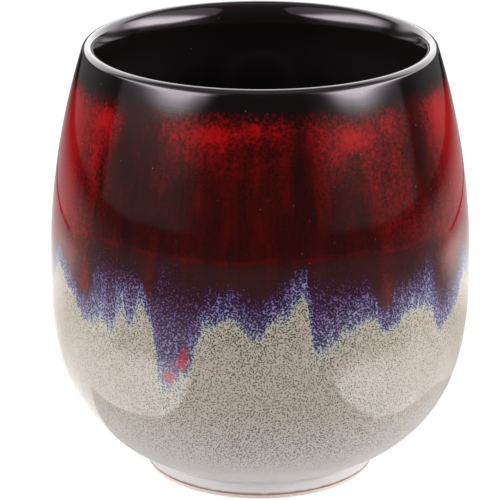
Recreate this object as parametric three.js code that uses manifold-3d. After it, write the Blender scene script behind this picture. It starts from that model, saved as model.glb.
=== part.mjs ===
// A handleless stoneware mug. A clay body carries a black liner glaze, a cream glaze on the bowl
// and a red glaze on the shoulder, which ran in the kiln and laps over the cream in a row of drips.
// The mug stands on z = 0 with its axis on Z, and the front looks along -Y.
import * as THREE from "three";
import { mergeVertices } from "three/addons/utils/BufferGeometryUtils.js";
import Module from "manifold-3d";

const wasm = await Module();
wasm.setup();

// Driving dimensions in millimetres and degrees. The outline is that of the glazed surface.
const HEIGHT = 90;
const BELLY_RADIUS = 43.25;
const BELLY_HEIGHT = 42.4;
const SIDE_ARC_RADIUS = 155.8; // the wall above the belly is one arc, upright at the belly
const BELLY_PULL = 14.7; // how far the wall under the belly stays upright before it turns in
const HEEL_PULL = 18.2; // how far the underside runs out from the foot before it turns up
const HEEL_SLOPE = 24.9; // rise of the underside where it leaves the foot
const LIP_ROUND = 1.3; // radius of the lip's crest
const LIP_FLARE = 2.2; // how far the lip leans out from the throat to its crest
const LIP_DEPTH = 4.1; // from the crest down to the throat
const LIP_SLOPE = 25; // lean of the slope inside the lip where it leaves the crest
const LIP_SLOPE_PULL = 1.6; // how far down the slope keeps that lean
const WALL_THICKNESS = 4.2; // at the belly
const FLOOR_THICKNESS = 6; // at the axis
const THROAT_PULL = 6; // how far the inside stays upright below the throat
const INSIDE_SIDE_PULL = 25; // how far the inside stays upright above the belly
const INSIDE_BELLY_PULL = 28; // and below the belly
const INSIDE_FLOOR_PULL = 32; // how far the inside floor stays level from the axis

const FOOT_RADIUS = 23.85;
const FOOT_HEIGHT = 4.35; // table to the underside of the bowl
const FOOT_WIDTH = 4.2; // of the ring that stands on the table
const FOOT_EDGE = 0.4; // chamfer on both edges of the ring
const FOOT_COVE = 1.15; // hollow between the foot and the bowl
const RECESS_DEPTH = 3; // hollow inside the foot ring
const RECESS_COVE = 1;

const GLAZE_THICKNESS = 0.5;
const BARE_FOOT_HEIGHT = 0.9; // clay left bare above the table
const RIM_BAND_HEIGHT = 4; // the liner glaze comes over the lip and this far down the outside
const RED_OVER_CREAM = 0.25; // thickness of the red glaze where it lies on the cream glaze
const CREAM_LAP = 6; // how far the cream glaze reaches up behind the highest notch between drips
const FUSED_GAP = 0.02; // parting between fired layers, so that each stays a solid of its own

// The drips of the red glaze, once round. Angles run from the front towards +X. The lowest point of
// each drip and the notch after it are given as parts of the mug's height.
const DRIPS = [
  { tip: -55.5, low: 0.442, notch: -46.5, high: 0.465 },
  { tip: -43.4, low: 0.44, notch: -38.8, high: 0.494 },
  { tip: -35.7, low: 0.47, notch: -32.5, high: 0.507 },
  { tip: -25.6, low: 0.34, notch: -8, high: 0.516 },
  { tip: -0.6, low: 0.469, notch: 11.7, high: 0.569 },
  { tip: 14.6, low: 0.438, notch: 28.9, high: 0.497 },
  { tip: 34.5, low: 0.457, notch: 45, high: 0.497 },
  { tip: 56.5, low: 0.418, notch: 72, high: 0.524 },
  { tip: 83, low: 0.456, notch: 93, high: 0.544 },
  { tip: 104, low: 0.4, notch: 113, high: 0.522 },
  { tip: 121, low: 0.467, notch: 131, high: 0.567 },
  { tip: 143, low: 0.422, notch: 155, high: 0.511 },
  { tip: 164, low: 0.461, notch: 175, high: 0.556 },
  { tip: 187, low: 0.367, notch: 198, high: 0.511 },
  { tip: 207, low: 0.467, notch: 218, high: 0.567 },
  { tip: 229, low: 0.433, notch: 241, high: 0.511 },
  { tip: 252, low: 0.444, notch: 263, high: 0.556 },
  { tip: 275, low: 0.411, notch: 290, high: 0.541 },
];

// Facets.
const SEGMENTS = 48; // round the mug
const BOWL_STEPS = 7; // along the outside of the bowl
const SIDE_STEPS = 4; // from the belly to the band under the lip
const LIP_STEPS = 2; // on each side of the lip's crest and on the slope inside it
const INSIDE_WALL_STEPS = 3;
const INSIDE_BOWL_STEPS = 6;
const COVE_STEPS = 2;
const DRIP_STEPS = 4; // along each side of a drip
const CUTTER_MARGIN = 5; // how far a cutter reaches past the mug

const radians = THREE.MathUtils.degToRad;
const at = (radius, height) => new THREE.Vector2(radius, height);

// Points along a curve, each with the direction that leaves the mug there. The outline runs up the
// outside, over the lip and down the inside, so that direction is always to the right of the run.
function run(curve, steps) {
  const rows = [];
  for (let i = 0; i <= steps; i++) {
    const tangent = curve.getTangent(i / steps);
    rows.push({ point: curve.getPoint(i / steps), out: at(tangent.y, -tangent.x) });
  }
  return rows;
}

// Runs that follow each other, with each shared point kept once.
function joined(...runs) {
  return runs.reduce((rows, next) => rows.concat(next.slice(1)));
}

// The points of an outline, sunk below the glazed surface.
function sunk(rows, depth) {
  return rows.map(({ point, out }) => point.clone().addScaledVector(out, -depth));
}

// A solid of revolution about Z from a profile that closes on itself or on the axis.
function turned(profile) {
  const geometry = new THREE.LatheGeometry(profile, SEGMENTS);
  geometry.deleteAttribute("normal");
  geometry.deleteAttribute("uv");
  geometry.rotateX(Math.PI / 2);
  return mergeVertices(geometry);
}

// A layer that follows an outline between two depths. It is a ring unless the outline meets the axis.
function layer(rows, fromDepth, toDepth) {
  const face = sunk(rows, fromDepth);
  const back = sunk(rows, toDepth).reverse();
  if (rows[0].point.x === 0) return turned([...face, ...back]);
  if (rows.at(-1).point.x === 0) return turned([...back, ...face]);
  return turned([...face, ...back, face[0]]);
}

// Conversions between geometries and solids that can be cut.
function solid(geometry) {
  return new wasm.Manifold(
    new wasm.Mesh({
      numProp: 3,
      vertProperties: geometry.attributes.position.array,
      triVerts: new Uint32Array(geometry.index.array),
    }),
  );
}

function geometryOf(cut) {
  const mesh = cut.getMesh();
  const geometry = new THREE.BufferGeometry();
  geometry.setAttribute("position", new THREE.BufferAttribute(mesh.vertProperties, 3));
  geometry.setIndex(new THREE.BufferAttribute(mesh.triVerts, 1));
  return geometry;
}

// Pieces of an outline: a straight run, a rounded corner and an arc.
const line = (from, to) => run(new THREE.LineCurve(from, to), 1);
const bend = (from, corner, to) => run(new THREE.QuadraticBezierCurve(from, corner, to), COVE_STEPS);
const arc = (centre, radius, start, end) =>
  new THREE.EllipseCurve(centre.x, centre.y, radius, radius, start, end);

// Outside of the mug, from the foot to the belly.
const foot = line(at(FOOT_RADIUS, BARE_FOOT_HEIGHT), at(FOOT_RADIUS, FOOT_HEIGHT - FOOT_COVE));
const heel = at(FOOT_RADIUS + FOOT_COVE, FOOT_HEIGHT);
const heelRise = at(Math.cos(radians(HEEL_SLOPE)), Math.sin(radians(HEEL_SLOPE)));
const coveCorner = at(FOOT_RADIUS, FOOT_HEIGHT - FOOT_COVE * Math.tan(radians(HEEL_SLOPE)));
const cove = bend(foot.at(-1).point, coveCorner, heel);
const bowl = run(
  new THREE.CubicBezierCurve(
    heel,
    heel.clone().addScaledVector(heelRise, HEEL_PULL),
    at(BELLY_RADIUS, BELLY_HEIGHT - BELLY_PULL),
    at(BELLY_RADIUS, BELLY_HEIGHT),
  ),
  BOWL_STEPS,
);

// Outside from the belly to the lip. The round of the lip touches the arc of the wall.
const sideCentre = at(BELLY_RADIUS - SIDE_ARC_RADIUS, BELLY_HEIGHT);
const lipHeight = HEIGHT - LIP_ROUND;
const lipArcRadius = SIDE_ARC_RADIUS - LIP_ROUND;
const lipAngle = Math.asin((lipHeight - BELLY_HEIGHT) / lipArcRadius);
const lipCentre = at(sideCentre.x + lipArcRadius * Math.cos(lipAngle), lipHeight);
const bandAngle = Math.asin((HEIGHT - RIM_BAND_HEIGHT - BELLY_HEIGHT) / SIDE_ARC_RADIUS);
const crest = Math.PI / 2;
const side = run(arc(sideCentre, SIDE_ARC_RADIUS, 0, bandAngle), SIDE_STEPS);
const band = run(arc(sideCentre, SIDE_ARC_RADIUS, bandAngle, lipAngle), 1);
const lipOutside = run(arc(lipCentre, LIP_ROUND, lipAngle, crest), LIP_STEPS);

// Inside, from the crest through the throat and the belly to the floor.
const throat = at(lipCentre.x - LIP_FLARE, HEIGHT - LIP_DEPTH);
const insideBelly = at(BELLY_RADIUS - WALL_THICKNESS, BELLY_HEIGHT);
const lipTop = run(arc(lipCentre, LIP_ROUND, crest, Math.PI - radians(LIP_SLOPE)), LIP_STEPS);
const slopeStart = lipTop.at(-1).point;
const slopeCorner = at(
  slopeStart.x - LIP_SLOPE_PULL * Math.tan(radians(LIP_SLOPE)),
  slopeStart.y - LIP_SLOPE_PULL,
);
const lipSlope = run(new THREE.QuadraticBezierCurve(slopeStart, slopeCorner, throat), LIP_STEPS);
const insideWall = run(
  new THREE.CubicBezierCurve(
    throat,
    at(throat.x, throat.y - THROAT_PULL),
    at(insideBelly.x, BELLY_HEIGHT + INSIDE_SIDE_PULL),
    insideBelly,
  ),
  INSIDE_WALL_STEPS,
);
const floorHeight = RECESS_DEPTH + FLOOR_THICKNESS;
const insideBowl = run(
  new THREE.CubicBezierCurve(
    insideBelly,
    at(insideBelly.x, BELLY_HEIGHT - INSIDE_BELLY_PULL),
    at(INSIDE_FLOOR_PULL, floorHeight),
    at(0, floorHeight),
  ),
  INSIDE_BOWL_STEPS,
);

// Hollow inside the foot ring, from the axis to where its glaze ends.
const recessRadius = FOOT_RADIUS - GLAZE_THICKNESS - FOOT_WIDTH - GLAZE_THICKNESS;
const recessTop = line(at(0, RECESS_DEPTH), at(recessRadius - RECESS_COVE, RECESS_DEPTH));
const recessSide = at(recessRadius, RECESS_DEPTH - RECESS_COVE);
const recessCove = bend(recessTop.at(-1).point, at(recessRadius, RECESS_DEPTH), recessSide);
const recessWall = line(recessSide, at(recessRadius, BARE_FOOT_HEIGHT));

const outsideRows = joined(foot, cove, bowl, side);
const linerRows = joined(band, lipOutside, lipTop, lipSlope, insideWall, insideBowl);
const recessRows = joined(recessTop, recessCove, recessWall);

// The clay body: recess, foot ring, outside, lip and inside, all under the depth of the glaze.
function bodyGeometry() {
  const recess = sunk(recessRows, GLAZE_THICKNESS);
  const outside = sunk(outsideRows, GLAZE_THICKNESS);
  const inner = recess.at(-1).x;
  const outer = outside[0].x;
  const ring = [
    at(inner, FOOT_EDGE),
    at(inner + FOOT_EDGE, 0),
    at(outer - FOOT_EDGE, 0),
    at(outer, FOOT_EDGE),
  ];
  return turned([...recess, ...ring, ...outside, ...sunk(linerRows, GLAZE_THICKNESS).slice(1)]);
}

// Everything below a height, as a cutter.
function below(height) {
  const reach = BELLY_RADIUS + CUTTER_MARGIN;
  const bottom = -CUTTER_MARGIN;
  return solid(turned([at(0, bottom), at(reach, bottom), at(reach, height), at(0, height)]));
}

// Angle and height of the points along the drips, eased from each tip to its notch and on to the next tip.
function dripEdge() {
  const edge = [];
  const ease = (from, to, fromPart, toPart) => {
    for (let i = 0; i < DRIP_STEPS; i++) {
      const share = i / DRIP_STEPS;
      edge.push({
        angle: radians(THREE.MathUtils.lerp(from, to, share)),
        height: HEIGHT * THREE.MathUtils.lerp(fromPart, toPart, THREE.MathUtils.smoothstep(share, 0, 1)),
      });
    }
  };
  DRIPS.forEach((drip, i) => {
    const last = i === DRIPS.length - 1;
    const next = DRIPS[(i + 1) % DRIPS.length];
    ease(drip.tip, drip.notch, drip.low, drip.high);
    ease(drip.notch, next.tip + (last ? 360 : 0), drip.high, next.low);
  });
  return edge;
}

// Everything above the drips, lowered by a small drop, as a ring-shaped cutter.
function aboveDrips(drop) {
  const edge = dripEdge();
  const inner = BELLY_RADIUS / 2;
  const outer = BELLY_RADIUS + CUTTER_MARGIN;
  const top = HEIGHT + CUTTER_MARGIN;
  const positions = [];
  const triangles = [];
  edge.forEach(({ angle, height }, i) => {
    const bottom = height - drop;
    const corners = [at(inner, bottom), at(outer, bottom), at(outer, top), at(inner, top)];
    const here = corners.length * i;
    const next = corners.length * ((i + 1) % edge.length);
    corners.forEach((corner, k) => {
      positions.push(corner.x * Math.sin(angle), -corner.x * Math.cos(angle), corner.y);
      const up = (k + 1) % corners.length;
      triangles.push(here + k, next + k, here + up, next + k, next + up, here + up);
    });
  });
  const geometry = new THREE.BufferGeometry();
  geometry.setAttribute("position", new THREE.Float32BufferAttribute(positions, 3));
  geometry.setIndex(triangles);
  return solid(geometry);
}

// Two coats share the outside. The cream goes on first and is thinner behind the drips that lie on it.
const coat = solid(layer(outsideRows, 0, GLAZE_THICKNESS - FUSED_GAP));
const creamTop = HEIGHT * Math.max(...DRIPS.map((drip) => drip.high)) + CREAM_LAP;

function redGeometry() {
  const behindRed = solid(layer(outsideRows, RED_OVER_CREAM, 2 * GLAZE_THICKNESS));
  return geometryOf(coat.intersect(aboveDrips(0)).subtract(behindRed.intersect(below(creamTop))));
}

function creamGeometry() {
  const redInFront = solid(layer(outsideRows, -GLAZE_THICKNESS, RED_OVER_CREAM + FUSED_GAP));
  const lapped = coat.intersect(below(creamTop - FUSED_GAP));
  return geometryOf(lapped.subtract(redInFront.intersect(aboveDrips(FUSED_GAP))));
}

// Materials of the clay and its glazes.
const finish = (color, roughness) => new THREE.MeshStandardMaterial({ color, roughness, metalness: 0 });
const clay = finish(0xcdb5a2, 0.85);
const black = finish(0x0d0c0c, 0.08);
const cream = finish(0xc2baae, 0.15);
const red = finish(0x6e1414, 0.1);

const mug = new THREE.Group();
mug.name = "mug";

function add(name, geometry, material) {
  geometry.computeVertexNormals();
  const mesh = new THREE.Mesh(geometry, material);
  mesh.name = name;
  mug.add(mesh);
}

add("stoneware_body", bodyGeometry(), clay);
add("liner_glaze", layer(linerRows, 0, GLAZE_THICKNESS - FUSED_GAP), black);
add("cream_glaze", creamGeometry(), cream);
add("red_glaze", redGeometry(), red);
add("base_glaze", layer(recessRows, 0, GLAZE_THICKNESS - FUSED_GAP), cream.clone());

export default mug;
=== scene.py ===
"""Looks of the handleless stoneware mug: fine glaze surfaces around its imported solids."""

import math

import bpy
import numpy as np
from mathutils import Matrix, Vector


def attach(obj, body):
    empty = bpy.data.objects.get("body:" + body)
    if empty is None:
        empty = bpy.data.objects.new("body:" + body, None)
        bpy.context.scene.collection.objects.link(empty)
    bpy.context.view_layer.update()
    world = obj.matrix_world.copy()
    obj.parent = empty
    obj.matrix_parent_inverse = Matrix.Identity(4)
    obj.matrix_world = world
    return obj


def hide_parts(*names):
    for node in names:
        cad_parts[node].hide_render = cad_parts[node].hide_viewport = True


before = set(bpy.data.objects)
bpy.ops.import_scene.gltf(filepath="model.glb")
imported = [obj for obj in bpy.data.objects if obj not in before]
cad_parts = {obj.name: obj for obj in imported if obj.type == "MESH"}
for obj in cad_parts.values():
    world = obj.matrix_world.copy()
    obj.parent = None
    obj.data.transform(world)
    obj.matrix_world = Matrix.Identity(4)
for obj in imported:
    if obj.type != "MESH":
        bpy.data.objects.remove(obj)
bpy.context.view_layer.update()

MM = 0.001

# The mug's driving dimensions, the same as the solids', in millimetres and degrees.
HEIGHT = 90
BELLY_RADIUS = 43.25
BELLY_HEIGHT = 42.4
SIDE_ARC_RADIUS = 155.8
BELLY_PULL = 14.7
HEEL_PULL = 18.2
HEEL_SLOPE = math.radians(24.9)
LIP_ROUND = 1.3
LIP_FLARE = 2.2
LIP_DEPTH = 4.1
LIP_SLOPE = math.radians(25)
LIP_SLOPE_PULL = 1.6
WALL_THICKNESS = 4.2
FLOOR_THICKNESS = 6
THROAT_PULL = 6
INSIDE_SIDE_PULL = 25
INSIDE_BELLY_PULL = 28
INSIDE_FLOOR_PULL = 32
FOOT_RADIUS = 23.85
FOOT_HEIGHT = 4.35
FOOT_WIDTH = 4.2
FOOT_EDGE = 0.4
FOOT_COVE = 1.15
RECESS_DEPTH = 3
RECESS_COVE = 1
GLAZE_THICKNESS = 0.5
BARE_FOOT_HEIGHT = 0.9
RIM_BAND_HEIGHT = 4
RED_OVER_CREAM = 0.25
CREAM_LAP = 6
FUSED_GAP = 0.02

# Lower edge of the red glaze, once round: angle from the front towards +X, height from the table.
# The front follows the photograph and the rest carries on in the same manner.
DRIP_EDGE = [
    (-70, 48.7), (-64.1, 45.3), (-58.9, 43.3), (-55.6, 39.9), (-50.2, 40.2), (-46.5, 41.8),
    (-43.4, 39.6), (-40.5, 44), (-38.8, 44.5), (-37.4, 43), (-35.7, 42.3), (-33.3, 45.4), (-32.1, 45.6),
    (-30.7, 44.1), (-29.2, 42.2), (-28.3, 38.8), (-28, 32.2), (-25.6, 30.6), (-20.7, 33.1),
    (-18.9, 35.4), (-16.9, 40.2), (-14.2, 45), (-12.1, 44.3), (-10.5, 46), (-7.9, 46.5), (-5.3, 45),
    (-1.5, 42.2), (0.3, 42.2), (1.3, 44.7), (2.9, 46.3), (4.9, 45.4), (7.5, 46.2), (10.6, 50.1),
    (11.7, 51.2), (12.5, 48.4), (13.4, 40.1), (14.6, 39.4), (19.5, 41), (23.7, 42.9), (26, 44.2),
    (28.9, 44.7), (31.6, 43.9), (32.7, 42.1), (34.3, 41.1), (38.6, 42.2), (40.3, 43.6), (43.5, 44.7),
    (46.7, 44.4), (50.1, 43.1), (53, 40.4), (55.8, 37.6), (57.9, 37.8), (61.9, 39.4), (66.4, 41.1),
    (72.2, 46.5), (78, 43), (80.2, 41.6), (82, 42.4), (83.6, 40.8), (86.2, 42.2), (87.4, 45.2),
    (89.6, 44.6), (91.2, 47.6), (93, 49), (94.6, 47.4), (95.6, 42.4), (98, 40.6), (99.6, 41.4),
    (101.2, 37.4), (104, 36), (106.4, 37.2), (107.6, 41.6), (109.6, 43.4), (111, 42.6), (113, 47),
    (115.4, 45.8), (117, 43.2), (119.6, 43.8), (121.6, 41.8), (124, 43), (126, 45.4), (128.4, 45),
    (129.8, 49), (131, 51), (132.2, 48.6), (133, 43), (135.4, 41.6), (137.2, 42.2), (139, 39.2),
    (143, 38), (145.6, 39), (147, 42.4), (149.4, 43.4), (151.8, 42.6), (153.6, 45), (155.4, 46),
    (158, 45.2), (160, 42.8), (162.4, 43.2), (164.6, 41.4), (167, 42.6), (168.6, 46.2), (170.6, 47.4),
    (172.6, 46.8), (174, 49.2), (175.2, 50), (176.6, 47.8), (177.4, 42.2), (179.6, 40.6), (181.6, 41.2),
    (183, 36), (184, 33.8), (187, 33), (189.4, 34.2), (191, 38.2), (192.6, 41.8), (194.6, 41.2),
    (196.4, 44.8), (198.2, 46), (200.8, 45.2), (202.6, 43.4), (205, 43.8), (207.4, 41.8), (209.6, 43),
    (211, 46.6), (213, 48.2), (214.8, 47.4), (216.6, 50.2), (218, 51), (219.2, 49), (220, 43.4),
    (222.6, 42.2), (224.4, 42.8), (226, 40), (229, 39), (231.6, 40), (233.2, 43.4), (235.4, 44.2),
    (237.6, 43.6), (239.4, 45.4), (241.2, 46.2), (244, 45), (246.2, 42.8), (248.6, 43.2), (250.4, 40.8),
    (252.6, 40), (255, 41.4), (256.4, 45.6), (258.4, 47.2), (260.6, 46.4), (262, 49.2), (263.4, 50),
    (264.8, 48), (265.6, 43), (268, 41.6), (270, 42.2), (271.8, 38.4), (275, 37), (277.6, 38.2),
    (279.4, 42), (281.6, 43.4), (283.6, 42.8), (286.4, 46),
]

# Height from the table that the violet fringe reaches above that edge, once round in the same way.
FRINGE_TOP = [
    (-70, 51), (-62, 48), (-57.5, 44.5), (-52.5, 44.5), (-50, 51.5), (-47, 53), (-41, 52), (-35, 53),
    (-30.7, 47), (-28, 51), (-24, 52), (-21, 49), (-14, 50), (-8, 51.5), (-3, 50), (1, 49), (6, 53),
    (11, 55), (13.5, 53), (18, 51), (23, 51.5), (29, 51), (33, 45), (36, 45), (38, 50), (42, 49.5),
    (46, 50), (51.3, 53), (54.5, 47.5), (57, 45), (60, 46), (64, 47), (71, 51), (83, 48), (93, 58),
    (104, 47), (113, 57), (122, 50), (131, 59), (143, 48), (155, 55), (164, 52), (175, 58), (187, 50),
    (198, 55), (207, 49), (218, 59), (229, 49), (241, 55), (252, 48), (263, 58), (275, 47),
]

# How red the glaze is at each height, before the patches: 0 is black and 1 is bright red.
RED_BY_HEIGHT = [
    (42, 0.22), (52, 0.25), (60, 0.27), (66, 0.28), (72, 0.32), (78, 0.4), (82, 0.44), (86, 0.4),
]

# Redder and darker patches: angle, height, half width in degrees, half height in millimetres, gain.
PATCHES = [
    (-51.6, 80.8, 5, 2.8, 0.36), (-53.5, 74.5, 4, 4, 0.22), (-52.8, 69, 3, 4, 0.12),
    (-20, 81.5, 11, 3, 0.12), (-15, 81.3, 6, 1.8, 0.34), (-17, 77.3, 7, 3, 0.06),
    (-3.3, 82.6, 3, 1.8, 0.24), (3, 82.6, 6, 2.6, 0.16), (27.3, 80, 7, 2.8, 0.5), (22, 76.4, 3.5, 2.5, 0.24),
    (38, 70, 9, 8, 0.17), (50, 61, 14, 6, 0.12), (40.7, 81.7, 6, 1.8, 0.16), (65, 80.2, 6, 4.5, 0.3),
    (-29.2, 72.5, 2.6, 2.2, 0.1), (16.6, 69.8, 3, 4.5, 0.08),
    (-54.8, 49, 3.4, 8, 0.3), (34.5, 49, 2.2, 7, 0.29), (-21, 46, 2, 4, 0.15),
    (-30.7, 49, 1.6, 6, 0.25), (57.3, 46, 2.2, 7, 0.14), (61, 52, 7, 6, 0.22),
    (-38.2, 78, 7.5, 8, -0.2), (11, 77, 2.4, 11, -0.16), (51.4, 76, 4, 11, -0.2),
    (-76, 74, 18, 16, 0.5), (80, 74, 19, 16, 0.56), (-75, 53, 18, 10, 0.55), (78, 53, 19, 10, 0.52),
    (-80, 87, 30, 4, -0.5), (82, 87, 30, 4, -0.5),
    (103, 78, 5, 9, -0.2), (121, 81.5, 9, 2.8, 0.3), (139, 76, 4, 9, -0.18),
    (152, 81, 6, 3, 0.28), (172, 82, 8, 2.5, 0.26), (184, 76, 5, 9, -0.2), (203, 81, 7, 3, 0.32),
    (220, 77, 4, 9, -0.18), (236, 81.5, 9, 2.6, 0.28), (254, 77, 5, 9, -0.2),
    (105, 50, 3, 8, 0.26), (143, 50, 2.4, 7, 0.2), (188, 51, 3.2, 8, 0.28), (229, 51, 2.4, 7, 0.24),
]

# Red blotches near the tip of the longest drip, in the same terms.
BLOTCHES = [(-24.8, 32.8, 1.9, 1.7, 1), (-20.9, 36, 1.8, 1.8, 1), (-20.2, 38.4, 1.2, 1.4, 0.8)]

# Places where the cream's dark specks stand closer or, below zero, further apart, in the same terms.
SPECKLED = [
    (2, 38, 34, 18, 1), (4, 18, 30, 12, 0.7), (120, 34, 32, 16, 0.9), (-118, 32, 34, 16, 0.9),
    (180, 22, 30, 12, 0.7), (-66, 28, 20, 18, -0.5), (66, 28, 18, 18, -0.5),
]

# Tongues where the red glaze is thin and the cream shows through further up, in the same terms: the
# gain is in millimetres.
THIN = [(-39.5, 48, 1.8, 4, 2.2), (-33, 48, 1.8, 4, 2.2), (8, 50, 1.8, 4, 2), (50, 48, 2, 4, 2)]

# Calmer red, with fewer dots, in the same terms.
CALM = [(-74, 68, 22, 24, 1), (76, 68, 24, 24, 1)]

DIP_HEIGHT = 57.6  # where the edge of the red glaze was when the mug was dipped, before it ran

SPECK_SPACING = 0.35  # of the cream's specks
BASE_SPECK_SPACING = 1.1  # of those inside the foot ring
DOT_SPACING = 0.62  # of the dark dots in the red
DUST_SPACING = 1.6  # of the pale dots in the red
PINHOLE_SPACING = 2.8  # of the black glaze's pinholes

# How finely the meshes are cut.
COLUMNS = 480  # round the mug
OUTSIDE_STEPS = 120  # along the bowl, and again along the side
INSIDE_STEPS = 40
LIP_OUTSIDE_STEPS = 16
LIP_TOP_STEPS = 8
LIP_SLOPE_STEPS = 20
BAND_STEPS = 6
FOOT_STEPS = 6
COVE_STEPS = 8
EDGE_STEPS = 5  # round each edge of the foot ring
RECESS_STEPS = 8
RECESS_WALL_STEPS = 3
FINE_TURN = 0.25  # degrees between the points at which the drips are rounded
EDGE_BLUR = 0.4  # degrees over which the corners of the drips are rounded
LEAST_FRINGE = 3  # least height of the fringe above the edge of the drips


# Outlines. A row of an outline is radius, height, and the direction that leaves the mug there.
def curve_rows(points, tangents):
    lengths = np.hypot(tangents[:, 0], tangents[:, 1])[:, None]
    tangents = tangents / np.maximum(lengths, 1e-9)
    return np.column_stack([points, tangents[:, 1], -tangents[:, 0]])


def bezier(controls, steps):
    """A Bezier curve of any degree."""
    points = np.array(controls, float)
    share = np.linspace(0, 1, steps + 1)[:, None]
    degree = len(points) - 1

    def blend(control_points):
        n = len(control_points) - 1
        weights = [math.comb(n, k) * share**k * (1 - share) ** (n - k) for k in range(n + 1)]
        return sum(weight * point for weight, point in zip(weights, control_points))

    return curve_rows(blend(points), degree * blend(np.diff(points, axis=0)))


def arc(centre, radius, start, end, steps):
    """Part of a circle, run anticlockwise."""
    turn = np.linspace(start, end, steps + 1)[:, None]
    ways = np.hstack([np.cos(turn), np.sin(turn)])
    tangents = np.hstack([-np.sin(turn), np.cos(turn)])
    return curve_rows(np.array(centre) + radius * ways, radius * tangents)


def joined(*runs):
    return np.vstack([runs[0]] + [run[1:] for run in runs[1:]])


def sunk(rows, depth):
    """Radius and height of the rows, below the glazed surface."""
    return rows[..., :2] - depth * rows[..., 2:]


heel = (FOOT_RADIUS + FOOT_COVE, FOOT_HEIGHT)
foot = bezier([(FOOT_RADIUS, BARE_FOOT_HEIGHT), (FOOT_RADIUS, FOOT_HEIGHT - FOOT_COVE)], FOOT_STEPS)
cove_corner = (FOOT_RADIUS, FOOT_HEIGHT - FOOT_COVE * math.tan(HEEL_SLOPE))
cove = bezier([(FOOT_RADIUS, FOOT_HEIGHT - FOOT_COVE), cove_corner, heel], COVE_STEPS)
heel_end = (heel[0] + HEEL_PULL * math.cos(HEEL_SLOPE), heel[1] + HEEL_PULL * math.sin(HEEL_SLOPE))
belly = (BELLY_RADIUS, BELLY_HEIGHT)
below_belly = (BELLY_RADIUS, BELLY_HEIGHT - BELLY_PULL)
bowl = bezier([heel, heel_end, below_belly, belly], OUTSIDE_STEPS)

side_centre = (BELLY_RADIUS - SIDE_ARC_RADIUS, BELLY_HEIGHT)
lip_height = HEIGHT - LIP_ROUND
lip_arc_radius = SIDE_ARC_RADIUS - LIP_ROUND
lip_angle = math.asin((lip_height - BELLY_HEIGHT) / lip_arc_radius)
lip_centre = (side_centre[0] + lip_arc_radius * math.cos(lip_angle), lip_height)
band_height = HEIGHT - RIM_BAND_HEIGHT
band_angle = math.asin((band_height - BELLY_HEIGHT) / SIDE_ARC_RADIUS)
throat = (lip_centre[0] - LIP_FLARE, HEIGHT - LIP_DEPTH)
inside_belly = BELLY_RADIUS - WALL_THICKNESS

side = arc(side_centre, SIDE_ARC_RADIUS, 0, band_angle, OUTSIDE_STEPS)
band = arc(side_centre, SIDE_ARC_RADIUS, band_angle, lip_angle, BAND_STEPS)
lip_outside = arc(lip_centre, LIP_ROUND, lip_angle, math.pi / 2, LIP_OUTSIDE_STEPS)
lip_top = arc(lip_centre, LIP_ROUND, math.pi / 2, math.pi - LIP_SLOPE, LIP_TOP_STEPS)
slope_start = lip_top[-1, :2]
slope_middle = slope_start - LIP_SLOPE_PULL * np.array([math.tan(LIP_SLOPE), 1])
lip_inside = joined(lip_top, bezier([slope_start, slope_middle, throat], LIP_SLOPE_STEPS))
inside_wall = bezier(
    [
        throat,
        (throat[0], throat[1] - THROAT_PULL),
        (inside_belly, BELLY_HEIGHT + INSIDE_SIDE_PULL),
        (inside_belly, BELLY_HEIGHT),
    ],
    INSIDE_STEPS,
)
floor_height = RECESS_DEPTH + FLOOR_THICKNESS
inside_bowl = bezier(
    [
        (inside_belly, BELLY_HEIGHT),
        (inside_belly, BELLY_HEIGHT - INSIDE_BELLY_PULL),
        (INSIDE_FLOOR_PULL, floor_height),
        (0, floor_height),
    ],
    INSIDE_STEPS,
)
recess_radius = FOOT_RADIUS - FOOT_WIDTH - 2 * GLAZE_THICKNESS
recess_flat = bezier([(0, RECESS_DEPTH), (recess_radius - RECESS_COVE, RECESS_DEPTH)], RECESS_STEPS)
recess_corner = [
    (recess_radius - RECESS_COVE, RECESS_DEPTH),
    (recess_radius, RECESS_DEPTH),
    (recess_radius, RECESS_DEPTH - RECESS_COVE),
]
recess_cove = bezier(recess_corner, COVE_STEPS)
recess_edge = (recess_radius, BARE_FOOT_HEIGHT)
recess_wall = bezier([recess_corner[-1], recess_edge], RECESS_WALL_STEPS)

outside = joined(bowl, side)
liner = joined(band, lip_outside, lip_inside, inside_wall, inside_bowl)
recess = joined(recess_flat, recess_cove, recess_wall)


def outside_at(heights):
    """Rows of the outside at any heights between the heel and the band under the lip."""
    columns = [np.interp(heights, outside[:, 1], outside[:, k]) for k in (0, 2, 3)]
    return np.stack([columns[0], heights, columns[1], columns[2]], axis=-1)


# The drips.
turns = np.linspace(0, 360, COLUMNS, endpoint=False)


def once_round(points):
    """Values at every column from a list of angles and values, with the corners rounded."""
    angles, values = np.array(points, float).T
    fine = np.arange(0, 360, FINE_TURN)
    level = np.interp(fine, angles % 360, values, period=360)
    away = np.minimum(fine, 360 - fine)
    weights = np.exp(-0.5 * (away / EDGE_BLUR) ** 2)
    smooth = np.fft.irfft(np.fft.rfft(level) * np.fft.rfft(weights / weights.sum()), len(fine))
    return np.interp(turns, fine, smooth, period=360)


drip_edge = once_round(DRIP_EDGE)
fringe_top = np.maximum(once_round(FRINGE_TOP), drip_edge + LEAST_FRINGE)
cream_top = drip_edge.max() + CREAM_LAP


def patchwork(patches, heights):
    """Sum of soft patches at heights given for every column."""
    level = 0 * heights
    for angle, height, half_width, half_height, gain in patches:
        across = (turns - angle + 180) % 360 - 180
        level = level + gain * np.exp(-((across / half_width) ** 2) - ((heights - height) / half_height) ** 2)
    return level


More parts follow.
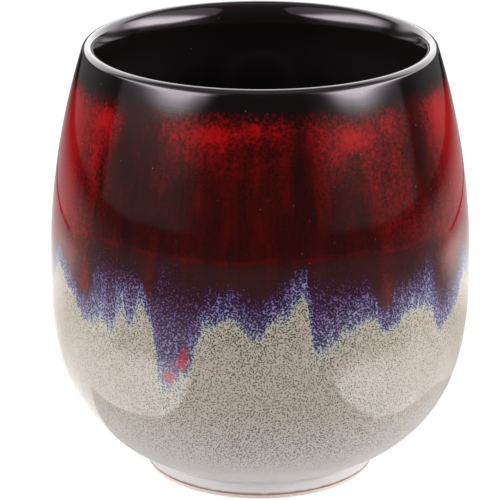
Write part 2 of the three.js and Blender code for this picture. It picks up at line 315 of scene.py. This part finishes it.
def looks(rings):
    """What the glaze's colours follow: millimetres above the edge of the drips, share of the fringe's
    height, redness, blotches, how close the specks are and how calm the red is."""
    heights = rings[..., 1]
    above = heights - drip_edge - patchwork(THIN, heights)
    levels = np.array(RED_BY_HEIGHT, float)
    return {
        "edge": above,
        "fringe": above / (fringe_top - drip_edge),
        "warm": np.interp(heights, levels[:, 0], levels[:, 1]) + patchwork(PATCHES, heights),
        "blotch": patchwork(BLOTCHES, heights),
        "speckled": patchwork(SPECKLED, heights),
        "calm": patchwork(CALM, heights),
    }


# Meshes.
def ring_rows(profile):
    """The same radius and height in every column."""
    return np.repeat(np.asarray(profile, float)[:, None, :2], COLUMNS, axis=1)


def shell(name, rings, sharp=(), closes=False, attributes=None):
    """A mesh round Z from rings of radius and height. A ring on the axis becomes one point, and the
    edges along the rings listed as sharp keep the shading of both sides apart."""
    radians = np.radians(turns)
    values = {key: [] for key in attributes or {}}
    starts = []
    points = []
    count = 0
    for k, ring in enumerate(rings):
        on_axis = ring[:, 0].max() < 1e-6
        shown = slice(0, 1) if on_axis else slice(None)
        radius = ring[shown, 0] * MM
        turn = radians[shown]
        points.append(np.column_stack([radius * np.sin(turn), -radius * np.cos(turn), ring[shown, 1] * MM]))
        for key in values:
            values[key].append(attributes[key][k][shown])
        starts.append((count, on_axis))
        count += len(radius)
    here = np.arange(COLUMNS)
    after = (here + 1) % COLUMNS
    faces = []
    pairs = list(zip(starts, starts[1:])) + ([(starts[-1], starts[0])] if closes else [])
    for (low, low_axis), (high, high_axis) in pairs:
        if low_axis:
            corners = [np.full(COLUMNS, low), high + after, high + here]
        elif high_axis:
            corners = [low + here, low + after, np.full(COLUMNS, high)]
        else:
            corners = [low + here, low + after, high + after, high + here]
        faces += np.column_stack(corners).tolist()
    mesh = bpy.data.meshes.new(name)
    mesh.from_pydata(np.vstack(points).tolist(), [], faces)
    mesh.shade_smooth()
    sharp_points = np.zeros(count, bool)
    for k in sharp:
        sharp_points[starts[k][0] : starts[k][0] + COLUMNS] = True
    ends = np.empty(2 * len(mesh.edges), int)
    mesh.edges.foreach_get("vertices", ends)
    both = sharp_points[ends].reshape(-1, 2).all(axis=1)
    ring_of = np.searchsorted([start for start, _ in starts], ends, side="right").reshape(-1, 2)
    along = ring_of[:, 0] == ring_of[:, 1]
    mesh.attributes.new("sharp_edge", "BOOLEAN", "EDGE").data.foreach_set("value", both & along)
    for key, levels in values.items():
        level = np.concatenate(levels).astype(np.float32)
        mesh.attributes.new(key, "FLOAT", "POINT").data.foreach_set("value", level)
    piece = bpy.data.objects.new(name, mesh)
    bpy.context.scene.collection.objects.link(piece)
    return piece


def place(piece, node, slot, material):
    piece.data.materials.append(material)
    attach(piece, "root")
    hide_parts(node)


GLAZE_BACK = GLAZE_THICKNESS - FUSED_GAP
GLAZE_ROLL = 0.8 * GLAZE_THICKNESS  # radius of the cream's rounded lower edge
ROLL_STEPS = 6
RED_ROWS = 110
RED_BACK_ROWS = 12  # on the lap, and again above it
CREAM_ROWS = 90
CREAM_LAP_ROWS = 10
CREAM_BACK_STRIDE = 8  # of the outside's rows, the hidden faces keep one in so many
CLAY_STRIDE = 6
EVEN_HEIGHT = 14  # the cream's rows are level below this and follow the drips above it


def red_shell():
    share = np.linspace(0, 1, RED_ROWS + 1)[:, None]
    heights = drip_edge + (band_height - drip_edge) * share
    face = outside_at(heights)
    lap_heights = drip_edge + (cream_top - drip_edge) * np.linspace(0, 1, RED_BACK_ROWS)[:, None]
    lap = sunk(outside_at(lap_heights), RED_OVER_CREAM)
    back_heights = np.linspace(cream_top, band_height, RED_BACK_ROWS)[:, None] + 0 * drip_edge
    back = sunk(outside_at(back_heights), GLAZE_BACK)
    rings = np.concatenate([sunk(face, 0), back[::-1], lap[::-1]])
    sharp = (0, RED_ROWS, RED_ROWS + 1, len(rings) - 1)
    return shell("red_glaze_coat", rings, sharp, closes=True, attributes=looks(rings))


def cream_shell():
    roll_top = BARE_FOOT_HEIGHT + GLAZE_ROLL
    roll = arc((FOOT_RADIUS - GLAZE_ROLL, roll_top), GLAZE_ROLL, -math.pi / 2, 0, ROLL_STEPS)
    start = joined(roll, foot[foot[:, 1] > roll_top], cove)
    level = outside[outside[:, 1] < EVEN_HEIGHT][1:]
    share = np.linspace(0, 1, CREAM_ROWS + 1)[1:, None]
    above = outside_at(EVEN_HEIGHT + (drip_edge - EVEN_HEIGHT) * share)
    lap_top = cream_top - FUSED_GAP
    lap_share = np.linspace(0, 1, CREAM_LAP_ROWS)[:, None]
    lap = sunk(outside_at(drip_edge + (lap_top - drip_edge) * lap_share), RED_OVER_CREAM + FUSED_GAP)
    down = joined(foot, cove, outside[outside[:, 1] < lap_top][::CREAM_BACK_STRIDE])
    back = ring_rows(sunk(down, GLAZE_BACK))[::-1]
    front = np.concatenate([ring_rows(start), ring_rows(level), sunk(above, 0)])
    rings = np.concatenate([front, lap, back])
    sharp = (len(front) - 1, len(front), len(front) + CREAM_LAP_ROWS - 1, len(rings) - 1)
    return shell("cream_glaze_coat", rings, sharp, closes=True, attributes=looks(rings))


def liner_shell():
    rings = np.concatenate([ring_rows(sunk(liner, GLAZE_BACK))[::-1], ring_rows(liner)])
    last_back = len(liner) - 1
    return shell("black_glaze_lining", rings, sharp=(last_back, last_back + 1))


def base_shell():
    rings = np.concatenate([ring_rows(recess), ring_rows(sunk(recess, GLAZE_BACK))[::-1]])
    return shell("cream_glaze_base", rings, sharp=(len(recess) - 1, len(recess)))


def clay_shell():
    recess_face = sunk(recess, GLAZE_THICKNESS)
    outer_face = sunk(joined(foot, cove, outside[::CLAY_STRIDE]), GLAZE_THICKNESS)
    inner = recess_face[-1, 0]
    outer = outer_face[0, 0]
    soft = [
        arc((inner + FOOT_EDGE, FOOT_EDGE), FOOT_EDGE, math.pi, 1.5 * math.pi, EDGE_STEPS)[:, :2],
        arc((outer - FOOT_EDGE, FOOT_EDGE), FOOT_EDGE, 1.5 * math.pi, 2 * math.pi, EDGE_STEPS)[:, :2],
    ]
    profile = np.vstack([recess_face, *soft, outer_face, sunk(liner, GLAZE_THICKNESS)])
    return shell("clay_body", ring_rows(profile))


# Materials.
class Nodes:
    """Adds nodes to a tree. An input is a number, a colour or the output of another node."""

    def __init__(self, tree):
        self.tree = tree
        tree.nodes.clear()

    def add(self, kind, inputs=None, **settings):
        node = self.tree.nodes.new(kind)
        for key, value in settings.items():
            setattr(node, key, value)
        for key, value in (inputs or {}).items():
            if isinstance(value, bpy.types.NodeSocket):
                self.tree.links.new(value, node.inputs[key])
            else:
                node.inputs[key].default_value = value
        return node

    def math(self, operation, *values):
        return self.add("ShaderNodeMath", dict(enumerate(values)), operation=operation).outputs[0]

    def product(self, *values):
        result = values[0]
        for value in values[1:]:
            result = self.math("MULTIPLY", result, value)
        return result

    def ramp(self, value, low, high, to_low=0.0, to_high=1.0):
        """The value eased from one range to another and held outside it."""
        inputs = {"Value": value, "From Min": low, "From Max": high, "To Min": to_low, "To Max": to_high}
        return self.add("ShaderNodeMapRange", inputs, interpolation_type="SMOOTHSTEP").outputs[0]

    def colours(self, value, stops):
        """A colour ramp from (place, colour) stops."""
        node = self.add("ShaderNodeValToRGB", {"Fac": value})
        elements = node.color_ramp.elements
        while len(elements) < len(stops):
            elements.new(1.0)
        for element, (place, colour) in zip(elements, stops):
            element.position = place
            element.color = (*colour, 1)
        return node.outputs[0]

    def mix(self, share, first, second):
        node = self.add("ShaderNodeMix", {0: share}, data_type="RGBA")
        for key, value in ((6, first), (7, second)):
            if isinstance(value, bpy.types.NodeSocket):
                self.tree.links.new(value, node.inputs[key])
            else:
                node.inputs[key].default_value = (*value, 1)
        return node.outputs[2]

    def place(self, stretch=(1, 1, 1)):
        """The point on the surface in millimetres, squeezed along the axes."""
        source = self.add("ShaderNodeTexCoord").outputs["Object"]
        scale = [part / MM for part in stretch]
        return self.add("ShaderNodeVectorMath", {0: source, 1: scale}, operation="MULTIPLY").outputs[0]

    def noise(self, size, detail=2.0, rough=0.5, stretch=(1, 1, 1)):
        """Noise of about this grain size in millimetres."""
        inputs = {"Vector": self.place(stretch), "Scale": 1 / size, "Detail": detail, "Roughness": rough}
        return self.add("ShaderNodeTexNoise", inputs).outputs["Fac"]

    def cells(self, size):
        """Distance to the middle of scattered cells, in millimetres, and a random number for each cell."""
        node = self.add("ShaderNodeTexVoronoi", {"Vector": self.place(), "Scale": 1 / size})
        split = self.add("ShaderNodeSeparateColor", {"Color": node.outputs["Color"]})
        return self.math("MULTIPLY", node.outputs["Distance"], size), split.outputs[0]

    def line(self, value, low, high):
        """The place of a value between two others, from 0 to 1."""
        return self.add("ShaderNodeMapRange", {"Value": value, "From Min": low, "From Max": high}).outputs[0]

    def vary(self, value, noise, amount):
        """The value, moved up and down by a noise around its middle."""
        return self.math("MULTIPLY_ADD", self.math("SUBTRACT", noise, 0.5), amount, value)

    def height(self):
        """Height above the table in millimetres."""
        return self.add("ShaderNodeSeparateXYZ", {0: self.place()}).outputs[2]

    def attribute(self, name):
        return self.add("ShaderNodeAttribute", attribute_name=name).outputs["Fac"]

    def bump(self, height, depth):
        """Relief of this depth in millimetres."""
        return self.add("ShaderNodeBump", {"Height": height, "Distance": depth * MM}).outputs[0]

    def surface(self, colour, roughness, normal=None, sheen=(1, 1, 1)):
        inputs = {"Base Color": colour, "Roughness": roughness, "IOR": 1.5, "Specular Tint": (*sheen, 1)}
        if normal:
            inputs["Normal"] = normal
        shader = self.add("ShaderNodeBsdfPrincipled", inputs)
        self.add("ShaderNodeOutputMaterial", {"Surface": shader.outputs[0]})


def srgb(red, green, blue):
    """A colour as seen on a screen, in 0 to 255, as the light that it stands for."""
    parts = [part / 255 for part in (red, green, blue)]
    return tuple(p / 12.92 if p <= 0.04045 else ((p + 0.055) / 1.055) ** 2.4 for p in parts)


def new_material(name):
    material = bpy.data.materials.new(name)
    material.use_nodes = True
    return material, Nodes(material.node_tree)


def red_colour(n):
    """Black to bright red: broad patches, soft vertical streaks and dark dots that join where it is
    less red. The line at which the glaze was dipped shows red, and the glaze is duller below it."""
    warm = n.attribute("warm")
    hairs = n.noise(0.9, detail=2, rough=0.6, stretch=(1, 1, 0.08))
    wide = n.noise(3.6, detail=2, stretch=(1, 1, 0.1))
    cloud = n.noise(5, detail=3, rough=0.6, stretch=(1, 1, 0.6))
    mottle = n.noise(0.8, detail=2, rough=0.6)
    grain = n.noise(0.36, detail=1)
    distance, _ = n.cells(DOT_SPACING)
    calm = n.ramp(n.attribute("calm"), 0.2, 0.9, 1, 0.3)
    lively = n.math("MULTIPLY", n.ramp(warm, 0.24, 0.55, 0.2, 1.0), calm)
    heat = n.vary(warm, hairs, 0.26)
    heat = n.vary(heat, wide, 0.34)
    heat = n.vary(heat, cloud, n.math("MULTIPLY", lively, 0.5))
    spots = n.vary(n.vary(n.math("DIVIDE", distance, DOT_SPACING), mottle, 1.2), grain, 0.5)
    spots = n.math("SUBTRACT", spots, 0.54)
    heat = n.math("MULTIPLY_ADD", spots, n.math("MULTIPLY", lively, 0.38), heat)
    top = n.vary(n.height(), hairs, 5)
    top = n.vary(top, cloud, 6)
    top = n.math("MULTIPLY_ADD", spots, -2.5, top)
    heat = n.math("MULTIPLY", heat, n.ramp(top, 83, 88.5, 1, 0))
    colour = n.colours(
        heat,
        [
            (0.0, srgb(20, 13, 13)),
            (0.18, srgb(40, 12, 11)),
            (0.32, srgb(60, 11, 10)),
            (0.5, srgb(98, 11, 14)),
            (0.7, srgb(146, 14, 18)),
            (1.0, srgb(176, 18, 24)),
        ],
    )
    level = n.vary(n.vary(n.height(), n.noise(14, detail=3), 3), mottle, 1.2)
    above_dip = n.math("SUBTRACT", level, DIP_HEIGHT)
    colour = n.mix(n.ramp(above_dip, -1.5, 0.3, 0.5, 0), colour, srgb(56, 26, 26))
    thick = n.math("MULTIPLY", n.ramp(cloud, 0.52, 0.66), n.ramp(above_dip, 0.2, 4, 0.8, 0))
    colour = n.mix(n.math("MULTIPLY", thick, n.ramp(above_dip, 0, 0.4)), colour, srgb(28, 12, 12))
    line = n.math("MULTIPLY", n.ramp(above_dip, -0.7, 0), n.ramp(above_dip, 0, 0.9, 1, 0))
    return n.mix(n.math("MULTIPLY", line, n.ramp(wide, 0.3, 0.7, 0.08, 0.5)), colour, srgb(104, 15, 17))


def cream_colour(n, edge):
    """The cream between its specks: greener near the drips, and cooler and paler near the foot, partly where
    the glaze runs thin and partly painted light from the bright table below.
    """
    base = n.mix(n.noise(1.4, detail=3, rough=0.6), srgb(167, 156, 143), srgb(189, 178, 165))
    base = n.mix(n.ramp(edge, -7, 0.5, 0, 0.6), base, srgb(184, 177, 156))
    # Painted light: paler and cooler towards the foot, standing in for the bright table's bounce and
    # reflection; partly also the thinner glaze there.
    base = n.mix(n.ramp(n.height(), 9, 28, 0.75, 0), base, srgb(202, 198, 198))
    base = n.mix(n.ramp(n.height(), 5, 10, 0.9, 0), base, srgb(221, 219, 223))
    return n.mix(n.ramp(n.height(), 4.2, 5.2, 1, 0), base, srgb(220, 215, 215))


def outer_glaze(name):
    """Cream below the drips, a violet fringe along them and red above. Both outer coats wear it.
    Dark specks in the cream draw closer towards the drips and join into the fringe's dark network."""
    material, n = new_material(name)
    runs = n.noise(0.7, detail=2, rough=0.6, stretch=(1, 1, 0.14))
    edge = n.vary(n.attribute("edge"), n.noise(2.2, detail=3, rough=0.6, stretch=(1, 1, 0.5)), 6)
    edge = n.vary(edge, runs, 8)
    fringe = n.attribute("fringe")
    rise = n.math("MINIMUM", edge, n.math("MULTIPLY", fringe, 6.5))
    distance, chance = n.cells(SPECK_SPACING)
    specks = n.noise(0.26, detail=1)
    spread = n.math("DIVIDE", distance, SPECK_SPACING)
    spread = n.vary(spread, specks, n.ramp(rise, -2, 2, 0.16, 0.36))
    crowd = n.math("ADD", n.ramp(rise, -12, -1, 0.285, 0.36), n.ramp(rise, -1.5, 1, 0, 0.18))
    crowd = n.math("ADD", crowd, n.ramp(rise, 1, 11, 0, 0.24))
    crowd = n.math("MULTIPLY_ADD", n.attribute("speckled"), 0.08, crowd)
    crowd = n.math("SUBTRACT", crowd, n.ramp(n.height(), 4, 15, 0.25, 0))
    dark = n.ramp(n.math("SUBTRACT", spread, crowd), -0.08, 0.08, 1, 0)
    share = n.line(rise, -1.5, 9)
    pale = n.colours(
        share,
        [
            (0.0, srgb(190, 187, 168)),
            (0.1, srgb(160, 165, 174)),
            (0.22, srgb(139, 140, 177)),
            (0.4, srgb(120, 107, 158)),
            (0.6, srgb(104, 76, 128)),
            (0.8, srgb(82, 50, 74)),
            (1.0, srgb(64, 22, 32)),
        ],
    )
    deep = n.colours(
        share,
        [
            (0.0, srgb(62, 60, 56)),
            (0.12, srgb(46, 41, 66)),
            (0.25, srgb(44, 27, 68)),
            (0.5, srgb(44, 22, 54)),
            (0.75, srgb(47, 18, 40)),
            (1.0, srgb(46, 15, 22)),
        ],
    )
    light = n.math("MULTIPLY", n.ramp(chance, 0.55, 1, 0, 0.5), n.ramp(rise, 0, 7, 1, 0.2))
    pale = n.mix(light, pale, srgb(186, 196, 204))
    pale = n.mix(n.ramp(rise, -2.5, 0), cream_colour(n, edge), pale)
    mark = n.mix(chance, srgb(18, 15, 13), srgb(66, 58, 50))
    deep = n.mix(n.ramp(rise, -3.5, -0.5), mark, deep)
    colour = n.mix(dark, pale, deep)
    blotch = n.vary(n.attribute("blotch"), specks, 2.6)
    colour = n.mix(n.ramp(blotch, 0.4, 0.9, 0, 0.95), colour, srgb(182, 14, 46))
    fade = n.noise(1.1, detail=3, rough=0.65, stretch=(1, 1, 0.3))
    up = n.vary(n.vary(n.vary(fringe, fade, 0.8), runs, 1.4), specks, 1.1)
    colour = n.mix(n.ramp(up, 0.85, 1.6), colour, red_colour(n))
    dust_distance, dust_chance = n.cells(DUST_SPACING)
    dust_size = n.ramp(dust_chance, 0.35, 1.0, -0.05, 0.09)
    dust = n.ramp(n.math("SUBTRACT", dust_distance, dust_size), -0.04, 0.03, 1, 0)
    dust = n.math("MULTIPLY", dust, n.ramp(fringe, 0.8, 1.2, 0, 0.6))
    colour = n.mix(dust, colour, srgb(188, 174, 168))
    # A thin brown line just above where the glaze ends at the foot.
    glaze_end_line = n.vary(n.height(), n.noise(2, detail=2), 0.5)
    colour = n.mix(n.ramp(glaze_end_line, 1.2, 1.75, 0.9, 0), colour, srgb(136, 104, 88))
    n.surface(colour, 0.06, n.bump(n.noise(6, detail=1), 0.02))
    return material


def black_glaze():
    """Glossy black with a few pale pinholes, painted paler deep inside the mug to lift its shade."""
    material, n = new_material("black_glaze")
    cloud = n.noise(4, detail=2)
    base = n.mix(cloud, srgb(15, 13, 13), srgb(23, 18, 18))
    # Painted light: the glaze is made paler below 76 mm, deep inside the mug where little light falls.
    base = n.mix(n.ramp(n.height(), 76, 86, 1, 0), base, srgb(30, 27, 28))
    distance, chance = n.cells(PINHOLE_SPACING)
    size = n.ramp(chance, 0.3, 1.0, -0.05, 0.14)
    pinhole = n.ramp(n.math("SUBTRACT", distance, size), -0.05, 0.03, 1, 0)
    colour = n.mix(n.math("MULTIPLY", pinhole, 0.5), base, srgb(150, 140, 135))
    wave = n.noise(6, detail=1)
    n.surface(colour, 0.07, n.bump(wave, 0.02), sheen=(1, 0.87, 0.97))
    return material


def base_glaze():
    """The cream glaze inside the foot ring, with sparse specks."""
    material, n = new_material("base_glaze")
    base = n.mix(n.noise(6, detail=2), srgb(192, 186, 178), srgb(206, 200, 194))
    distance, chance = n.cells(BASE_SPECK_SPACING)
    size = n.math("MULTIPLY", chance, 0.24)
    speck = n.ramp(n.math("SUBTRACT", distance, size), -0.06, 0.05, 1, 0)
    colour = n.mix(n.math("MULTIPLY", speck, 0.8), base, srgb(80, 70, 60))
    n.surface(colour, 0.09, n.bump(n.noise(5, detail=1), 0.02))
    return material


def bare_clay():
    """Fired clay, pinkish buff and finely grained."""
    material, n = new_material("bare_clay")
    grain = n.noise(0.5, detail=4, rough=0.7)
    base = n.mix(n.noise(5, detail=2), srgb(234, 214, 206), srgb(240, 224, 217))
    colour = n.mix(n.ramp(grain, 0.55, 0.75, 0, 0.5), base, srgb(184, 150, 134))
    n.surface(colour, 0.8, n.bump(grain, 0.05))
    return material


place(clay_shell(), "stoneware_body", "stoneware_clay", bare_clay())
place(liner_shell(), "liner_glaze", "black_glaze", black_glaze())
place(cream_shell(), "cream_glaze", "cream_glaze", outer_glaze("cream_glaze"))
place(red_shell(), "red_glaze", "red_glaze", outer_glaze("red_glaze"))
place(base_shell(), "base_glaze", "cream_glaze", base_glaze())


# Surroundings. Here all places are in metres.
TABLE_RADIUS = 0.6
SEAM_RADIUS = 0.248  # of a dark seam in the table behind the mug
STRIP_MIDDLE = 0.002  # of a dim strip of table before the mug
STRIP_HALF_WIDTH = 0.041
STRIP_END = 0.03  # from the mug's axis to the strip's near end
CAMERA_PLACE = (-0.00207, -0.5754, 0.2423)
CAMERA_DIP = 18.858  # degrees that it looks down
LENS_LENGTH = 211.716  # millimetres
LAMP_WIDTH = 1.7
LAMP_HEIGHT = 0.585
LAMP_DISTANCE = 0.9
LAMP_AIM = (0, 0, 0.065)


def table_colour(n, x, y, out):
    """Pale near the mug and dim further away, with a dark seam behind it."""
    distant = n.mix(n.ramp(y, -0.05, 0.15), (0.13, 0.13, 0.13), (0.5, 0.5, 0.5))
    distant = n.mix(n.ramp(out, 0.25, 0.5), distant, (0.02, 0.02, 0.02))
    reach = n.math("ADD", out, n.ramp(y, -0.2, -0.08, 0.05, 0))
    close = n.mix(n.ramp(x, -0.02, 0.02), (0.86, 0.8, 0.74), (0.5, 0.46, 0.42))
    close = n.mix(n.ramp(y, 0.0, 0.05), (0.9, 0.9, 0.9), close)
    pale = n.mix(n.ramp(reach, 0.1, 0.28), close, distant)
    from_seam = n.math("ABSOLUTE", n.math("SUBTRACT", out, SEAM_RADIUS))
    seam = n.math("MULTIPLY", n.ramp(from_seam, 0.003, 0.006, 1, 0), n.ramp(y, 0.105, 0.125))
    return n.mix(seam, pale, (0, 0, 0))


def table_gleam(n, x, y, out, ray_length):
    """Painted lamplight: a glow on the table that only the mug's gloss sees, at both sides of the mug and
    behind it, standing in for the lamps' reflection in a glossy table, but not on the strip before it or
    where it stands. From before the mug it reaches only what is near."""
    before = n.math("MINIMUM", n.math("ADD", y, 0.048), 0)
    half_strip = n.math("MULTIPLY_ADD", n.math("MULTIPLY", before, before), 9, STRIP_HALF_WIDTH)
    from_middle = n.math("ABSOLUTE", n.math("SUBTRACT", x, STRIP_MIDDLE))
    past_strip = n.math("SUBTRACT", from_middle, half_strip)
    past_strip = n.math("MAXIMUM", past_strip, n.math("ADD", y, STRIP_END))
    stand = n.math("ADD", n.ramp(x, -0.01, 0.01, 0.056, 0.054), n.ramp(y, -0.025, 0.008, 0, 0.009))
    past_stand = n.math("SUBTRACT", out, stand)
    behind_left = n.math("MULTIPLY", n.ramp(y, -0.002, 0.001, 0, 0.1), n.ramp(x, -0.002, 0.002, 1, 0))
    past_stand = n.math("ADD", past_stand, behind_left)
    near = n.ramp(ray_length, 0.07, 0.095, 1, 0.1)
    beside = n.product(
        n.ramp(past_strip, -0.001, 0.001),
        n.ramp(past_stand, -0.001, 0.001),
        n.ramp(out, 0.08, 0.2, 1, 0),
        n.ramp(y, -0.06, -0.03, 2.4, 1.3),
        n.ramp(y, -0.1, -0.068, 0.25, 1),
        n.ramp(y, -0.03, 0.005, 1, n.ramp(x, -0.03, 0.03, 0.55, 0.35)),
        n.ramp(x, -0.03, 0.03, 1.4, 1.3),
        n.ramp(y, 0.005, 0.05, 1, 0.4),
        n.ramp(y, -0.045, -0.025, near, 1),
    )
    behind = n.product(
        n.ramp(y, 0.03, 0.09),
        n.ramp(out, 0.2, 0.246, 1, 0),
        n.ramp(out, 0.1, 0.15),
        n.ramp(y, 0.1, 0.17, 1, 0.2),
        n.ramp(x, -0.1, 0.1, 0.6, 1.0),
    )
    return n.math("ADD", beside, behind)


def floor():
    """A pale table. The camera sees it white, with the mug's soft shadow, and the mug's gloss also shows
    painted lamplight on it, a glow that stands in for the lamps' reflection."""
    mesh = bpy.data.meshes.new("floor")
    around = np.radians(np.arange(0, 360, 3))
    corners = TABLE_RADIUS * np.column_stack([np.cos(around), np.sin(around), 0 * around])
    mesh.from_pydata(corners.tolist(), [], [list(range(len(corners)))])
    material, n = new_material("floor")
    where = n.add("ShaderNodeTexCoord").outputs["Object"]
    x, y, _ = n.add("ShaderNodeSeparateXYZ", {0: where}).outputs
    out = n.add("ShaderNodeVectorMath", {0: where}, operation="LENGTH").outputs["Value"]
    path = n.add("ShaderNodeLightPath").outputs
    matt = n.add("ShaderNodeBsdfDiffuse", {"Color": table_colour(n, x, y, out)})
    # Painted lamplight: an emission that only glossy rays see.
    shine = table_gleam(n, x, y, out, path["Ray Length"])
    gleam = n.add("ShaderNodeEmission", {"Strength": n.math("MULTIPLY", shine, path["Is Glossy Ray"])})
    table = n.add("ShaderNodeAddShader", {0: matt.outputs[0], 1: gleam.outputs[0]})
    faint = n.add("ShaderNodeBsdfDiffuse", {"Color": (0.12, 0.12, 0.12, 1)})
    glow = n.add("ShaderNodeEmission", {"Strength": n.ramp(out, 0.05, 0.25, 0.92, 1)})
    white = n.add("ShaderNodeAddShader", {0: faint.outputs[0], 1: glow.outputs[0]})
    parts = {0: path["Is Camera Ray"], 1: table.outputs[0], 2: white.outputs[0]}
    mixed = n.add("ShaderNodeMixShader", parts)
    n.add("ShaderNodeOutputMaterial", {"Surface": mixed.outputs[0]})
    mesh.materials.append(material)
    plate = bpy.data.objects.new("floor", mesh)
    bpy.context.scene.collection.objects.link(plate)


def surroundings():
    """A studio round the mug: a dark front, dim panels at both sides, a ceiling that brightens
    overhead and a white backdrop behind. The camera itself sees white."""
    world = bpy.data.worlds.new("studio")
    bpy.context.scene.world = world
    world.use_nodes = True
    n = Nodes(world.node_tree)
    way = n.add("ShaderNodeSeparateXYZ", {0: n.add("ShaderNodeTexCoord").outputs["Generated"]})
    x, y, z = way.outputs
    aside = n.math("DEGREES", n.math("ABSOLUTE", n.math("ARCTAN2", x, n.math("MULTIPLY", y, -1))))
    rise = n.math("DEGREES", n.math("ARCSINE", z))
    ceiling = n.math("ADD", n.ramp(rise, 10, 40, 0.016, 0.16), n.ramp(rise, 35, 90, 0, 0.72))
    panel_edge = n.math("MULTIPLY_ADD", aside, -0.052, -2.2)
    panel = n.product(
        n.ramp(aside, 26, 54),
        n.ramp(aside, 94, 99, 1, 0),
        n.ramp(n.math("SUBTRACT", rise, panel_edge), -0.4, 0.4),
        n.ramp(rise, -1, 11, 1, 2.2),
        n.ramp(rise, 20, 45, 1, 0.2),
    )
    backdrop = n.math("MULTIPLY", n.ramp(rise, 5, 12, 0, 3.5), n.ramp(rise, 38, 66, 1, 0.04))
    backdrop = n.math("MULTIPLY_ADD", backdrop, n.ramp(aside, 106, 122), 0.22)
    path = n.add("ShaderNodeLightPath")
    backdrop = n.add("ShaderNodeMix", {0: path.outputs["Is Glossy Ray"], 2: 0.64, 3: backdrop}).outputs[0]
    front = n.math("MULTIPLY_ADD", panel, 0.22, ceiling)
    glow = n.add("ShaderNodeMix", {0: n.ramp(aside, 94, 128), 2: front, 3: backdrop}).outputs[0]
    seen = n.math("MAXIMUM", path.outputs["Is Camera Ray"], path.outputs["Is Transmission Ray"])
    strength = n.add("ShaderNodeMix", {0: seen, 2: glow, 3: 1.0}).outputs[0]
    background = n.add("ShaderNodeBackground", {"Color": (1, 1, 1, 1), "Strength": strength})
    n.add("ShaderNodeOutputWorld", {"Surface": background.outputs[0]})


def softbox(name, aside, rise, watts):
    """A wide soft lamp before the mug, at an angle from the camera's side and a rise in degrees. It is
    brightest above its lower edge, which curves up towards the camera, and fades at its far end."""
    lamp = bpy.data.lights.new(name, "AREA")
    lamp.shape = "RECTANGLE"
    lamp.size = LAMP_WIDTH
    lamp.size_y = LAMP_HEIGHT
    lamp.energy = watts
    lamp.use_nodes = True
    n = Nodes(lamp.node_tree)
    u, v, _ = n.add("ShaderNodeSeparateXYZ", {0: n.add("ShaderNodeTexCoord").outputs["UV"]}).outputs
    near = u if aside < 0 else n.math("SUBTRACT", 1.0, u)
    across = n.ramp(near, 0.05, 0.48)
    curve = n.math("MAXIMUM", n.math("SUBTRACT", near, 0.53), 0)
    lifted = n.math("MULTIPLY_ADD", n.math("MULTIPLY", curve, curve), -2.29, v)
    low = n.math("POWER", n.line(lifted, -0.028, 0.165), 4)
    up = n.math("MULTIPLY", low, n.ramp(v, 0.3, 0.55, 1, 0.08))
    emission = n.add("ShaderNodeEmission", {"Strength": n.math("MULTIPLY", across, up)})
    n.add("ShaderNodeOutputLight", {"Surface": emission.outputs[0]})
    holder = bpy.data.objects.new(name, lamp)
    turn = math.radians(aside)
    lift = math.radians(rise)
    way = Vector((math.sin(turn) * math.cos(lift), -math.cos(turn) * math.cos(lift), math.sin(lift)))
    holder.location = Vector(LAMP_AIM) + LAMP_DISTANCE * way
    holder.rotation_euler = way.to_track_quat("Z", "Y").to_euler()
    bpy.context.scene.collection.objects.link(holder)


def camera():
    lens = bpy.data.cameras.new("camera")
    lens.sensor_width = 36
    lens.lens = LENS_LENGTH
    holder = bpy.data.objects.new("camera", lens)
    holder.location = CAMERA_PLACE
    holder.rotation_euler = (math.radians(90 - CAMERA_DIP), 0, 0)
    bpy.context.scene.collection.objects.link(holder)
    bpy.context.scene.camera = holder


floor()
surroundings()
softbox("softbox_left", -70, 27, 36)
softbox("softbox_right", 80, 25.6, 42)
camera()
bpy.context.scene.view_settings.view_transform = "Standard"
